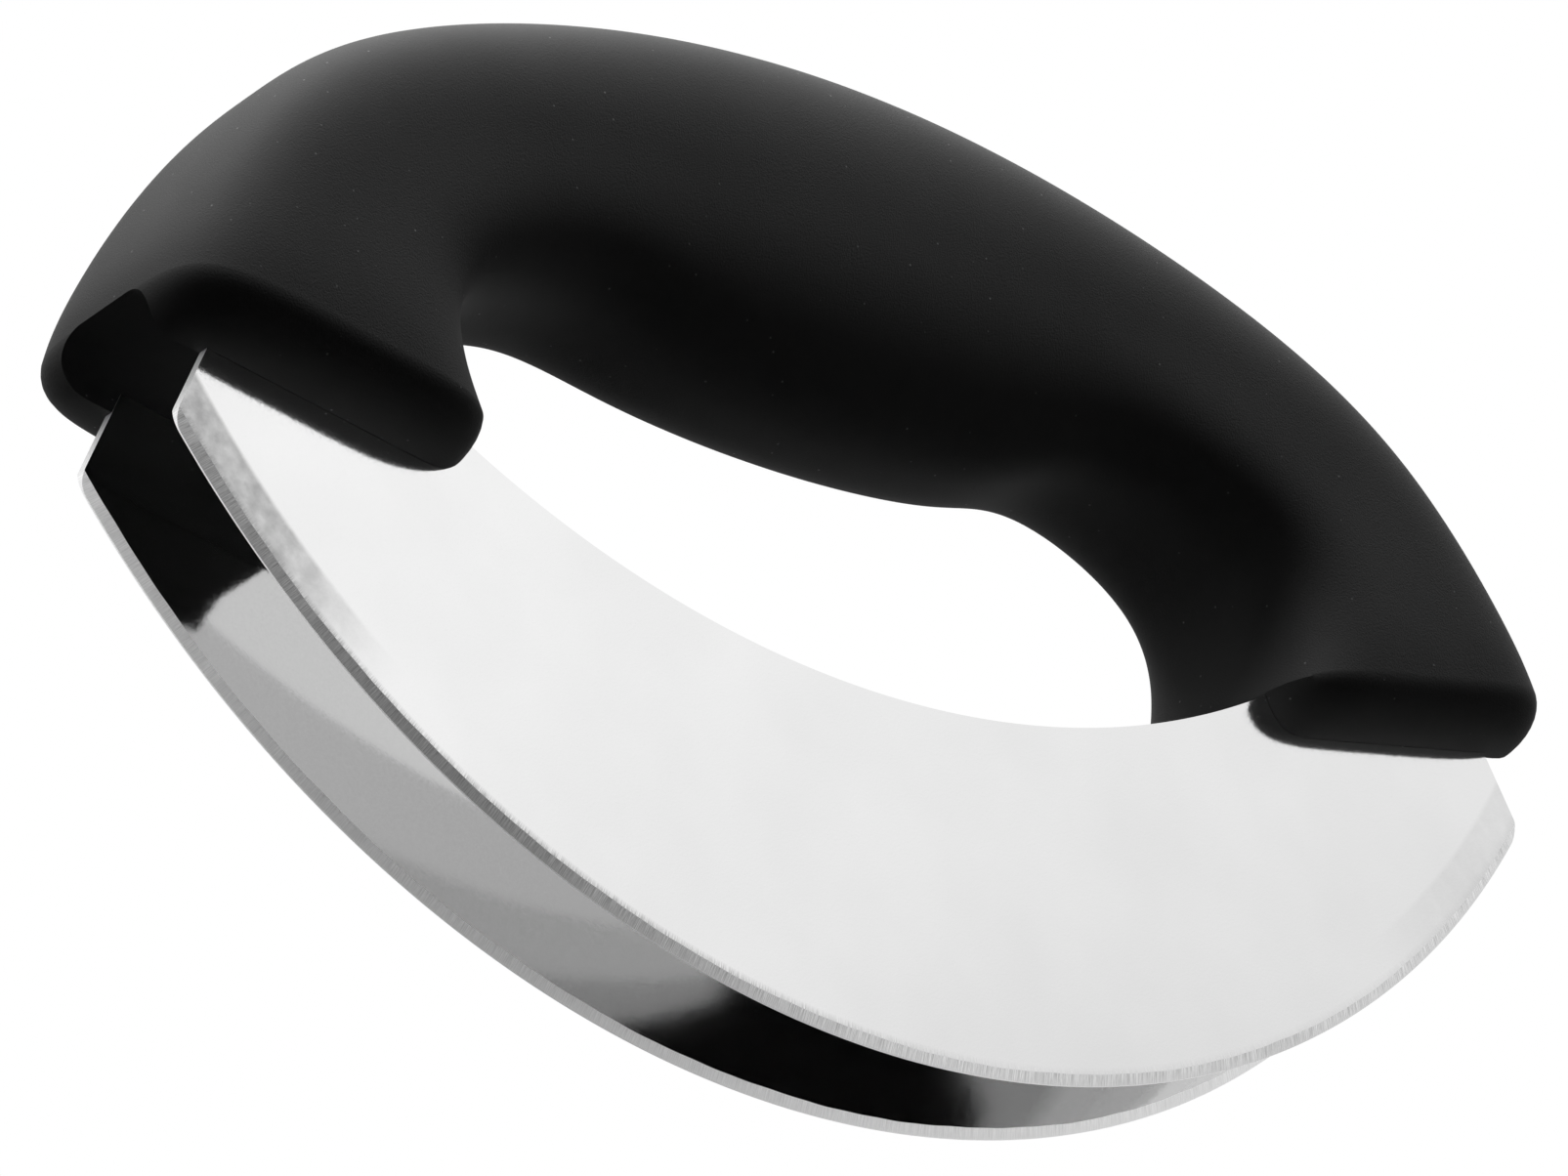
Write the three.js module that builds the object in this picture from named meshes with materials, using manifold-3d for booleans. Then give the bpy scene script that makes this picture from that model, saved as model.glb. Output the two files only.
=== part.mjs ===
// Double mezzaluna: two parallel crescent blades held by one arched handle with a soft skin.
// Millimetres, +Z up. X runs along the blades and Y across them. The origin lies on the board,
// midway between the two cutting edges, where they touch down.
import * as THREE from 'three';
import { mergeVertices } from 'three/addons/utils/BufferGeometryUtils.js';
import Module from 'manifold-3d';

const wasm = await Module();
wasm.setup();

// Clearances
const fitGap = 0.3; // all round between two pieces that touch
const cutOverrun = 2; // how far a cutting tool runs past what it cuts

// Blades
const bladeLength = 180; // between the two end corners, before they are rounded
const bladeThickness = 1.2;
const bladeSpacing = 15.8; // from the middle of one blade to the middle of the other
const edgeSagitta = 47.6; // how far the cutting edge drops below the line between its corners
const bladeDepth = 40.6; // edge to back, at mid-length
const backSagitta = 14; // how far the back's hollow drops across the hand opening
const bevelWidth = 1.1; // ground strip along the edge, on each side
const edgeLand = 0.2; // thickness left at the cutting edge
const cornerRadius = 3; // where the edge turns into the end cut
const endCutRise = 8.5; // the end cut slants inwards by endCutRun over this height
const endCutRun = 4.2;

// Tangs: the part of each blade that runs up into a foot
const tangInnerInset = 6.5; // from the foot's inner end to the tang
const tangOuterInset = 9.5; // from the foot's outer end to the tang
const tangRise = 23.5; // top of the tang above the line between the blade's corners
const tangCornerRadius = 3;

// Pins: each runs through both tangs of one foot
const pinDiameter = 4;
const pinRise = 17.4; // above the line between the blade's corners
const pinInset = 6; // from the tang's end to the nearer pin
const pinRecess = 1; // pin end below the core's side

// Handle
const footOverhang = 1.9; // the foot's outer end past the blade's corner
const footLength = 38.5; // from the foot's outer end to the hand opening
const archRise = 69.3; // guide of the arch's outside, above the line between the blade's corners
const gripUndersideRise = 23.5; // guide of the grip's underside, above the same line
const footOuterLift = 14.8; // foot's outer end above the same line, where its rounding starts
const footInnerLift = 7.4; // foot's inner end, likewise
const gripWidth = 26; // across the arch where it is narrowest
const footWidth = 32;
const footRoundingHeight = 5; // rounded bottom edge of each foot, up from the underside
const footEndRounding = 3.2; // likewise, in from the foot's ends
const footSideRounding = 7; // likewise, in from the foot's sides
const skinThickness = 2.2;
const grooveDepth = 5.4; // channel between the blades in the foot's underside
const grooveCornerRadius = 3.5;

// Guide stations of the arch, from the middle of the grip down to the foot. A smooth curve is drawn
// by them. outAlong is a share of half the handle's length, and outUp of the outside's rise above the
// foot. inAlong is a share of half the hand opening, and inUp of the underside's rise. widening goes
// from the grip's width, 0, to the foot's, 1. squareness is the exponent of the cross-section, where
// 2 is an ellipse and a higher one has flatter sides.
const stationShares = [
  { outAlong: 0, outUp: 1, inAlong: 0, inUp: 1, widening: 0.23, squareness: 2.5 },
  { outAlong: 0.35, outUp: 0.93, inAlong: 0.43, inUp: 1.125, widening: 0, squareness: 2.6 },
  { outAlong: 0.7, outUp: 0.71, inAlong: 0.627, inUp: 1.51, widening: 0.1, squareness: 3.0 },
  { outAlong: 0.863, outUp: 0.451, inAlong: 1.028, inUp: 1.1, widening: 0.53, squareness: 3.8 },
  { outAlong: 0.981, outUp: 0.108, inAlong: 1.04, inUp: 0.397, widening: 1, squareness: 4.2 },
  { outAlong: 1, outUp: 0, inAlong: 1, inUp: 0, widening: 1, squareness: 4.8 },
];

// Facets
const ringPoints = 32; // round the arch's cross-section
const stepsPerHalf = 14; // rings from the middle of the grip to the foot
const roundingSteps = 4;
const edgeFacets = 160; // in a full turn of the cutting edge's circle
const backFacets = 20;
const cornerFacets = 4;
const pinFacets = 24;

// Sizes worked out from those above
const halfBlade = bladeLength / 2;
const edgeRadius = (halfBlade ** 2 + edgeSagitta ** 2) / (2 * edgeSagitta);
const cornerHeight = edgeSagitta;
const halfHandle = halfBlade + footOverhang;
const halfOpening = halfHandle - footLength;
const backRadius = (halfOpening ** 2 + backSagitta ** 2) / (2 * backSagitta);
const tangInner = halfOpening + tangInnerInset;
const tangOuter = halfHandle - tangOuterInset;
const tangTop = cornerHeight + tangRise;
const grooveWidth = bladeSpacing - bladeThickness;
const coreInset = skinThickness + fitGap;

const materials = {
  skin: new THREE.MeshStandardMaterial({ color: 0x2a2a2a, roughness: 0.85, metalness: 0 }),
  core: new THREE.MeshStandardMaterial({ color: 0x3a3b3d, roughness: 0.6, metalness: 0 }),
  blade: new THREE.MeshStandardMaterial({ color: 0xc9cbcd, roughness: 0.25, metalness: 1 }),
  pin: new THREE.MeshStandardMaterial({ color: 0xb4b6b8, roughness: 0.35, metalness: 1 }),
};

// Solids

// A closed geometry as a solid whose faces point out, whichever way they were wound.
function toSolid(geometry) {
  const bare = geometry.clone();
  bare.deleteAttribute('normal');
  bare.deleteAttribute('uv');
  const merged = mergeVertices(bare);
  const vertProperties = new Float32Array(merged.attributes.position.array);
  const triVerts = new Uint32Array(merged.index.array);
  if (signedVolume(vertProperties, triVerts) < 0) {
    for (let i = 0; i < triVerts.length; i += 3) {
      [triVerts[i + 1], triVerts[i + 2]] = [triVerts[i + 2], triVerts[i + 1]];
    }
  }
  return new wasm.Manifold(new wasm.Mesh({ numProp: 3, vertProperties, triVerts }));
}

function signedVolume(positions, triangles) {
  const corner = (k) => new THREE.Vector3().fromArray(positions, triangles[k] * 3);
  let volume = 0;
  for (let i = 0; i < triangles.length; i += 3) {
    volume += corner(i).dot(corner(i + 1).cross(corner(i + 2)));
  }
  return volume;
}

function toGeometry(solid) {
  const mesh = solid.getMesh();
  const geometry = new THREE.BufferGeometry();
  geometry.setAttribute('position', new THREE.Float32BufferAttribute(mesh.vertProperties, 3));
  geometry.setIndex(new THREE.Uint32BufferAttribute(mesh.triVerts, 1));
  geometry.computeVertexNormals();
  return geometry;
}

function cut(solid, tools) {
  return tools.reduce((rest, tool) => rest.subtract(tool), solid);
}

// The same geometry on the other side of the middle, at -X.
function toLeft(geometry) {
  return geometry.clone().scale(-1, 1, 1);
}

// Blades

// Point where the line through p along d meets the vertical line at x.
function heightOnLine(p, d, x) {
  return p.y + (d.y * (x - p.x)) / d.x;
}

// The blade's right half as (x, z) points, from the lowest point of the edge round to the middle of
// the back. grow moves the whole outline outwards, for the slot that the blade sits in.
function halfBladeOutline(grow) {
  const points = [];
  const edgeCentre = new THREE.Vector2(0, edgeRadius);
  const slant = new THREE.Vector2(-endCutRun, endCutRise).normalize();
  const outward = new THREE.Vector2(slant.y, -slant.x);
  const chordEnd = new THREE.Vector2(halfBlade, cornerHeight);

  // The corner's circle touches the end cut's line and the edge's circle from inside.
  const onInset = chordEnd.clone().addScaledVector(outward, -cornerRadius);
  const toInset = onInset.clone().sub(edgeCentre);
  const along = toInset.dot(slant);
  const reach = (edgeRadius - cornerRadius) ** 2 - toInset.lengthSq() + along ** 2;
  const cornerCentre = onInset.clone().addScaledVector(slant, -along - Math.sqrt(reach));

  const fromEdgeCentre = cornerCentre.clone().sub(edgeCentre);
  const edgeEnd = Math.atan2(fromEdgeCentre.x, -fromEdgeCentre.y);
  const facetAngle = (2 * Math.PI) / edgeFacets;
  for (let k = 0; k * facetAngle < edgeEnd; k += 1) {
    points.push(arcPoint(edgeCentre, edgeRadius + grow, k * facetAngle));
  }
  const cornerEnd = Math.atan2(outward.x, -outward.y);
  for (let k = 0; k <= cornerFacets; k += 1) {
    const angle = edgeEnd + ((cornerEnd - edgeEnd) * k) / cornerFacets;
    points.push(arcPoint(cornerCentre, cornerRadius + grow, angle));
  }

  const slantStart = chordEnd.clone().addScaledVector(outward, grow);
  const right = tangOuter + grow;
  const left = tangInner - grow;
  const top = tangTop + grow;
  const round = tangCornerRadius;
  points.push(new THREE.Vector2(right, heightOnLine(slantStart, slant, right)));
  for (let k = 0; k <= cornerFacets; k += 1) {
    const angle = Math.PI / 2 + ((Math.PI / 2) * k) / cornerFacets;
    points.push(arcPoint(new THREE.Vector2(right - round, top - round), round, angle));
  }
  for (let k = 0; k <= cornerFacets; k += 1) {
    const angle = Math.PI + ((Math.PI / 2) * k) / cornerFacets;
    points.push(arcPoint(new THREE.Vector2(left + round, top - round), round, angle));
  }

  const backCentre = new THREE.Vector2(0, bladeDepth + backRadius);
  const backEnd = Math.asin(left / (backRadius - grow));
  for (let k = 0; k <= backFacets; k += 1) {
    const angle = backEnd * (1 - k / backFacets);
    points.push(arcPoint(backCentre, backRadius - grow, angle));
  }
  return points;
}

// Point on a circle, at an angle counted from straight down towards +X.
function arcPoint(centre, radius, angle) {
  return new THREE.Vector2(
    centre.x + radius * Math.sin(angle),
    centre.y - radius * Math.cos(angle),
  );
}

function bladeGeometry(grow) {
  const half = halfBladeOutline(grow);
  const mirrored = half.slice(1, -1).reverse().map((p) => new THREE.Vector2(-p.x, p.y));
  const depth = bladeThickness + 2 * grow;
  const geometry = new THREE.ExtrudeGeometry(new THREE.Shape([...half, ...mirrored]), {
    depth,
    bevelEnabled: false,
  });
  return geometry.rotateX(Math.PI / 2).translate(0, depth / 2, 0);
}

// A ring round the edge's circle that grinds one side of the blade down to the land.
function bevelRing(side) {
  const halfThickness = bladeThickness / 2;
  const halfLand = edgeLand / 2;
  const slope = (halfThickness - halfLand) / bevelWidth;
  const profile = [
    new THREE.Vector2(edgeRadius - bevelWidth, halfThickness),
    new THREE.Vector2(edgeRadius + cutOverrun, halfLand - slope * cutOverrun),
    new THREE.Vector2(edgeRadius + cutOverrun, halfThickness + cutOverrun),
    new THREE.Vector2(edgeRadius - bevelWidth, halfThickness + cutOverrun),
    new THREE.Vector2(edgeRadius - bevelWidth, halfThickness),
  ];
  return new THREE.LatheGeometry(profile, edgeFacets).scale(1, side, 1).translate(0, 0, edgeRadius);
}

// Pins

const pinPlaces = [
  { name: 'left_outer_pin', x: -(tangOuter - pinInset) },
  { name: 'left_inner_pin', x: -(tangInner + pinInset) },
  { name: 'right_inner_pin', x: tangInner + pinInset },
  { name: 'right_outer_pin', x: tangOuter - pinInset },
];
const pinHeight = cornerHeight + pinRise;
const pinLength = footWidth - 2 * (coreInset + pinRecess);

function pinGeometry(place, radius, length) {
  const geometry = new THREE.CylinderGeometry(radius, radius, length, pinFacets);
  return geometry.translate(place.x, 0, pinHeight);
}

function pinHoles() {
  const radius = pinDiameter / 2 + fitGap;
  return pinPlaces.map((place) => toSolid(pinGeometry(place, radius, footWidth + cutOverrun)));
}

// Handle

// The guide stations in real sizes: outer and inner point, half width and squareness.
const stations = stationShares.map((share) => ({
  outX: share.outAlong * halfHandle,
  outZ: cornerHeight + footOuterLift + share.outUp * (archRise - footOuterLift),
  inX: share.inAlong * halfOpening,
  inZ: cornerHeight + footInnerLift + share.inUp * (gripUndersideRise - footInnerLift),
  halfWidth: (gripWidth + share.widening * (footWidth - gripWidth)) / 2,
  squareness: share.squareness,
}));

function mixStations(parts) {
  const mixed = {};
  for (const key of Object.keys(stations[0])) {
    mixed[key] = parts.reduce((sum, [weight, station]) => sum + weight * station[key], 0);
  }
  return mixed;
}

// The station at t, from 0 in the middle of the grip to 1 at the foot, on a uniform cubic B-spline.
function stationAt(t) {
  const last = stations.length - 1;
  const first = { ...stations[1], outX: -stations[1].outX, inX: -stations[1].inX };
  const past = mixStations([[2, stations[last]], [-1, stations[last - 1]]]);
  const guides = [first, ...stations, past];
  const index = Math.min(Math.floor(t * last), last - 1);
  const u = t * last - index;
  return mixStations([
    [(1 - u) ** 3 / 6, guides[index]],
    [(3 * u ** 3 - 6 * u ** 2 + 4) / 6, guides[index + 1]],
    [(-3 * u ** 3 + 3 * u ** 2 + 3 * u + 1) / 6, guides[index + 2]],
    [u ** 3 / 6, guides[index + 3]],
  ]);
}

// One ring of the arch: a superellipse in the plane of the station's two points, drawn in by two
// insets, from its ends and from its sides, and moved by shift.
function stationRing(station, endInset, sideInset, shift) {
  const outer = new THREE.Vector3(station.outX, 0, station.outZ);
  const inner = new THREE.Vector3(station.inX, 0, station.inZ);
  const middle = outer.clone().add(inner).divideScalar(2).add(shift);
  const reach = outer.sub(inner).divideScalar(2);
  reach.setLength(reach.length() - endInset);
  const across = new THREE.Vector3(0, station.halfWidth - sideInset, 0);
  const power = 2 / station.squareness;
  const ring = [];
  for (let k = 0; k < ringPoints; k += 1) {
    const angle = (2 * Math.PI * k) / ringPoints;
    const c = Math.cos(angle);
    const s = Math.sin(angle);
    ring.push(middle.clone()
      .addScaledVector(reach, Math.sign(c) * Math.abs(c) ** power)
      .addScaledVector(across, Math.sign(s) * Math.abs(s) ** power));
  }
  return ring;
}

// The foot's underside: a corner at the inner end, the way outwards along it and the way up into it.
const foot = (() => {
  const last = stationAt(1);
  const inner = new THREE.Vector3(last.inX, 0, last.inZ);
  const outer = new THREE.Vector3(last.outX, 0, last.outZ);
  const along = outer.clone().sub(inner);
  const length = along.length();
  along.normalize();
  const up = new THREE.Vector3(-along.z, 0, along.x);
  return { corner: inner.addScaledVector(up, -footRoundingHeight), along, up, length };
})();

// The whole arch as a closed body, its surface drawn in by inset.
function archGeometry(inset) {
  const half = [];
  for (let k = 0; k <= stepsPerHalf; k += 1) {
    half.push(stationRing(stationAt(k / stepsPerHalf), inset, inset, new THREE.Vector3()));
  }
  const [height, end, side] = [footRoundingHeight, footEndRounding, footSideRounding]
    .map((size) => Math.max(size - inset, 0));
  for (let k = 1; k <= roundingSteps; k += 1) {
    const angle = ((Math.PI / 2) * k) / roundingSteps;
    const drawn = 1 - Math.cos(angle);
    const shift = foot.up.clone().multiplyScalar(-height * Math.sin(angle));
    half.push(stationRing(stationAt(1), inset + end * drawn, inset + side * drawn, shift));
  }
  const left = half.slice(1).reverse().map((ring) => ring.map((p) => new THREE.Vector3(-p.x, p.y, p.z)));
  return loft([...left, ...half]);
}

// A closed skin over rings of equal length, with a fan over each end.
function loft(rings) {
  const positions = rings.flat().flatMap((p) => p.toArray());
  const indices = [];
  const count = ringPoints;
  for (let i = 0; i + 1 < rings.length; i += 1) {
    for (let k = 0; k < count; k += 1) {
      const a = i * count + k;
      const b = i * count + ((k + 1) % count);
      indices.push(a, b, a + count, b, b + count, a + count);
    }
  }
  const ends = [
    { ring: rings[0], start: 0, flip: true },
    { ring: rings[rings.length - 1], start: (rings.length - 1) * count, flip: false },
  ];
  for (const { ring, start, flip } of ends) {
    const centre = ring.reduce((sum, p) => sum.add(p), new THREE.Vector3()).divideScalar(count);
    const hub = positions.length / 3;
    positions.push(...centre.toArray());
    for (let k = 0; k < count; k += 1) {
      const a = start + k;
      const b = start + ((k + 1) % count);
      indices.push(...(flip ? [hub, b, a] : [hub, a, b]));
    }
  }
  const geometry = new THREE.BufferGeometry();
  geometry.setAttribute('position', new THREE.Float32BufferAttribute(positions, 3));
  geometry.setIndex(indices);
  return geometry;
}

// The channel between the blades in the right foot's underside, open at both ends.
function grooveGeometry() {
  const half = grooveWidth / 2;
  const round = grooveCornerRadius;
  const shape = new THREE.Shape();
  shape.moveTo(-half, -cutOverrun);
  shape.lineTo(half, -cutOverrun);
  shape.lineTo(half, grooveDepth - round);
  shape.absarc(half - round, grooveDepth - round, round, 0, Math.PI / 2);
  shape.lineTo(-half + round, grooveDepth);
  shape.absarc(-half + round, grooveDepth - round, round, Math.PI / 2, Math.PI);
  const overrun = footRoundingHeight + cutOverrun;
  const depth = foot.length + 2 * overrun;
  const geometry = new THREE.ExtrudeGeometry(shape, {
    depth,
    bevelEnabled: false,
    curveSegments: cornerFacets,
  });
  const start = foot.corner.clone().addScaledVector(foot.along, -overrun);
  const frame = new THREE.Matrix4().makeBasis(new THREE.Vector3(0, 1, 0), foot.up, foot.along);
  return geometry.applyMatrix4(frame.setPosition(start));
}

// The two blades' slots and the two grooves, which the core and the skin both have.
function footCuts() {
  const groove = grooveGeometry();
  const slot = bladeGeometry(fitGap);
  return [
    toSolid(groove),
    toSolid(toLeft(groove)),
    toSolid(slot.clone().translate(0, -bladeSpacing / 2, 0)),
    toSolid(slot.clone().translate(0, bladeSpacing / 2, 0)),
  ];
}

// Sub-parts

function namedMesh(name, solid, material) {
  const mesh = new THREE.Mesh(toGeometry(solid), material);
  mesh.name = name;
  return mesh;
}

function makeBlade(name, side) {
  const blank = toSolid(bladeGeometry(0));
  const bevels = [toSolid(bevelRing(1)), toSolid(bevelRing(-1))];
  const mesh = namedMesh(name, cut(blank, [...bevels, ...pinHoles()]), materials.blade);
  mesh.position.y = (side * bladeSpacing) / 2;
  return mesh;
}

function makeBlades() {
  const group = new THREE.Group();
  group.add(makeBlade('near_blade', -1), makeBlade('far_blade', 1));
  return group;
}

function makeHandle() {
  const cuts = footCuts();
  const core = cut(toSolid(archGeometry(coreInset)), [...cuts, ...pinHoles()]);
  const skin = cut(toSolid(archGeometry(0)), [toSolid(archGeometry(skinThickness)), ...cuts]);
  const group = new THREE.Group();
  group.add(
    namedMesh('handle_core', core, materials.core),
    namedMesh('handle_skin', skin, materials.skin),
  );
  return group;
}

function makePins() {
  const group = new THREE.Group();
  for (const place of pinPlaces) {
    const solid = toSolid(pinGeometry(place, pinDiameter / 2, pinLength));
    group.add(namedMesh(place.name, solid, materials.pin));
  }
  return group;
}

const mezzaluna = new THREE.Group();
mezzaluna.add(makeBlades(), makeHandle(), makePins());

export default mezzaluna;
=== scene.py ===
"""Looks of the double mezzaluna: fine surfaces, finishes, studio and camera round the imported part.

Sizes in the classes are in millimetres, in the part's own frame: X along the blades, Y across them, Z up,
with the origin on the board midway between the two cutting edges. Meshes are built in metres.
"""

from __future__ import annotations

import logging
import math
from dataclasses import dataclass
from enum import Enum

import bmesh
import bpy
import numpy as np
from mathutils import Matrix, Vector
from mathutils.geometry import tessellate_polygon


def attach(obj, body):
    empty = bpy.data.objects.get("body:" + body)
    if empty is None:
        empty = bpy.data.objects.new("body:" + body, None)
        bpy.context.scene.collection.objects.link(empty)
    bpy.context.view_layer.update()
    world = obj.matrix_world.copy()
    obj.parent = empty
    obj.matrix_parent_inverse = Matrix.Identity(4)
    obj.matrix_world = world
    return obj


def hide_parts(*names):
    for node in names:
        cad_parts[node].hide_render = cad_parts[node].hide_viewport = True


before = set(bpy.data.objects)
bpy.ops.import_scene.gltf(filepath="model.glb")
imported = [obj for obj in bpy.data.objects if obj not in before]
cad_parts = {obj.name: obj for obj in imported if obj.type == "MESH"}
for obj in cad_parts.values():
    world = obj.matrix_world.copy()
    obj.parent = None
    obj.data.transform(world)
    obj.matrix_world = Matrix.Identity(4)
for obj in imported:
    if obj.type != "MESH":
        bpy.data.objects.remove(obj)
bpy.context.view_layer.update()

log = logging.getLogger("mezzaluna")

Material = bpy.types.Material
Mesh = bpy.types.Mesh
Node = bpy.types.Node
Piece = bpy.types.Object
Socket = bpy.types.NodeSocket
Tree = bpy.types.NodeTree

MM = 0.001
BODY = "root"
# Nearly all of a noise's values lie between these.
NOISE_RANGE = (0.3, 0.7)
# A narrower range makes scratches stand out more.
SCRATCH_RANGE = (0.35, 0.65)


class Side(Enum):
    """Which of the two blades, by the direction of its outer face along Y."""

    NEAR = -1
    FAR = 1


class BladeZone(Enum):
    """The differently finished surfaces of a blade, by material slot."""

    OUTER_FACE = 0
    INNER_FACE = 1
    OUTER_BEVEL = 2
    INNER_BEVEL = 3
    SHEARED = 4


def linear(hex_colour: str) -> tuple[float, float, float, float]:
    """Turns an sRGB hex colour into a linear RGBA value.

    Args:
        hex_colour: Six hex digits, as in a8abad.

    Returns:
        The linear colour with full alpha.
    """
    channels = []
    for start in (0, 2, 4):
        value = int(hex_colour[start:start + 2], 16) / 255
        channels.append(value / 12.92 if value <= 0.04045 else ((value + 0.055) / 1.055) ** 2.4)
    return (*channels, 1.0)


def add_node(tree: Tree, kind: str, inputs: dict[str, object] | None = None, **settings: object) -> Node:
    """Adds a node to a tree with its settings and links.

    Args:
        tree: The shader or geometry tree.
        kind: Blender's name of the node type.
        inputs: Sockets by identifier, each with a constant, the socket that feeds it, or the node that
            feeds it from the first of its outputs in use.
        settings: Properties of the node itself.

    Returns:
        The new node.
    """
    node = tree.nodes.new(kind)
    for name, value in settings.items():
        setattr(node, name, value)
    sockets = {socket.identifier: socket for socket in node.inputs}
    for key, value in (inputs or {}).items():
        if isinstance(value, Node):
            value = next(output for output in value.outputs if output.enabled)
        if isinstance(value, Socket):
            tree.links.new(value, sockets[key])
        else:
            sockets[key].default_value = value
    return node


def new_material(name: str) -> tuple[Material, Tree]:
    """Makes an empty node material.

    Args:
        name: The finish's name.

    Returns:
        The material and its tree.
    """
    material = bpy.data.materials.new(name)
    material.use_nodes = True
    material.node_tree.nodes.clear()
    return material, material.node_tree


def new_body_tree(name: str, inputs: dict[str, str]) -> Tree:
    """Starts a geometry nodes tree that puts out a body.

    Args:
        name: The tree's name.
        inputs: Its inputs by name, each with its kind of socket. The first one is the guide.

    Returns:
        The tree.
    """
    tree = bpy.data.node_groups.new(name, "GeometryNodeTree")
    for label, kind in inputs.items():
        tree.interface.new_socket(label, in_out="INPUT", socket_type=f"NodeSocket{kind}")
    tree.interface.new_socket("Body", in_out="OUTPUT", socket_type="NodeSocketGeometry")
    return tree


def end_body_tree(tree: Tree, geometry: Node, finish: Socket) -> None:
    """Makes a tree's geometry real, gives it its finish and puts it out.

    Args:
        tree: The tree from new_body_tree.
        geometry: The node that gives the body.
        finish: Its input for the material.
    """
    real = add_node(tree, "GeometryNodeRealizeInstances", {"Geometry": geometry})
    dressed = add_node(tree, "GeometryNodeSetMaterial", {"Geometry": real, "Material": finish})
    add_node(tree, "NodeGroupOutput", {tree.interface.items_tree["Body"].identifier: dressed})


def plain_mesh(obj: Piece) -> Piece:
    """Turns an object's evaluated shape into its own plain mesh and removes its modifiers.

    Args:
        obj: A mesh object with modifiers.

    Returns:
        The same object.
    """
    bpy.context.view_layer.update()
    evaluated = obj.evaluated_get(bpy.context.evaluated_depsgraph_get())
    result = bpy.data.meshes.new_from_object(evaluated)
    obj.modifiers.clear()
    obj.data = result
    return obj


def run_tree(guide: Piece, tree: Tree, values: dict[str, object]) -> Piece:
    """Runs a geometry nodes tree on its guide and keeps the body as a plain mesh.

    Args:
        guide: The object that holds the guide.
        tree: The tree.
        values: The tree's other inputs by name.

    Returns:
        The same object, now the body.
    """
    modifier = guide.modifiers.new(tree.name, "NODES")
    modifier.node_group = tree
    identifiers = {item.name: item.identifier for item in tree.interface.items_tree}
    for name, value in values.items():
        modifier[identifiers[name]] = value
    return plain_mesh(guide)


def object_from(name: str, mesh: Mesh) -> Piece:
    """Links a new object at the origin.

    Args:
        name: The object's name.
        mesh: The mesh that it shows.

    Returns:
        The object.
    """
    obj = bpy.data.objects.new(name, mesh)
    bpy.context.scene.collection.objects.link(obj)
    return obj


def mesh_from(name: str, vertices: np.ndarray | list, faces: list, edges: list | None = None) -> Mesh:
    """Makes a mesh from points in millimetres.

    Args:
        name: The mesh's name.
        vertices: Points as rows of x, y and z.
        faces: Corner indices of each face.
        edges: Loose edges, for a guide line.

    Returns:
        The mesh, in metres.
    """
    mesh = bpy.data.meshes.new(name)
    mesh.from_pydata((np.asarray(vertices, float) * MM).tolist(), edges or [], faces)
    mesh.update()
    return mesh


def tidy_mesh(mesh: Mesh, merge_within: float = 0.0) -> None:
    """Merges doubled vertices and turns every face outwards.

    Args:
        mesh: A closed mesh.
        merge_within: Distance in millimetres under which vertices are merged.
    """
    work = bmesh.new()
    work.from_mesh(mesh)
    if merge_within > 0:
        bmesh.ops.remove_doubles(work, verts=work.verts, dist=merge_within * MM)
    bmesh.ops.recalc_face_normals(work, faces=work.faces)
    work.to_mesh(mesh)
    work.free()


def loft(name: str, rings: list) -> Mesh:
    """Makes a closed mesh through rings of equally many points, with a cap on the first and the last.

    Args:
        name: The mesh's name.
        rings: For each ring its points in millimetres, as rows of x, y and z.

    Returns:
        The mesh, in metres.
    """
    count = len(rings[0])
    last = (len(rings) - 1) * count
    faces = [list(range(count)), list(range(last + count - 1, last - 1, -1))]
    for start in range(0, last, count):
        for k in range(count):
            after = (k + 1) % count
            faces.append([start + k, start + after, start + count + after, start + count + k])
    mesh = mesh_from(name, np.concatenate(rings), faces)
    tidy_mesh(mesh)
    return mesh


def smooth_by_angle(mesh: Mesh, degrees: float) -> None:
    """Shades a mesh smooth except over edges sharper than the angle."""
    mesh.shade_smooth()
    mesh.set_sharp_from_angle(angle=math.radians(degrees))


def cut_away(obj: Piece, tools: list[Piece]) -> Piece:
    """Cuts the tools out of an object and removes them.

    Args:
        obj: The body.
        tools: Closed bodies to take away from it.

    Returns:
        The same object with the cut mesh.
    """
    for tool in tools:
        cut = obj.modifiers.new("cut", "BOOLEAN")
        cut.operation = "DIFFERENCE"
        cut.solver = "EXACT"
        cut.object = tool
    plain_mesh(obj)
    for tool in tools:
        bpy.data.objects.remove(tool)
    return obj


# Finishes


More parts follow.
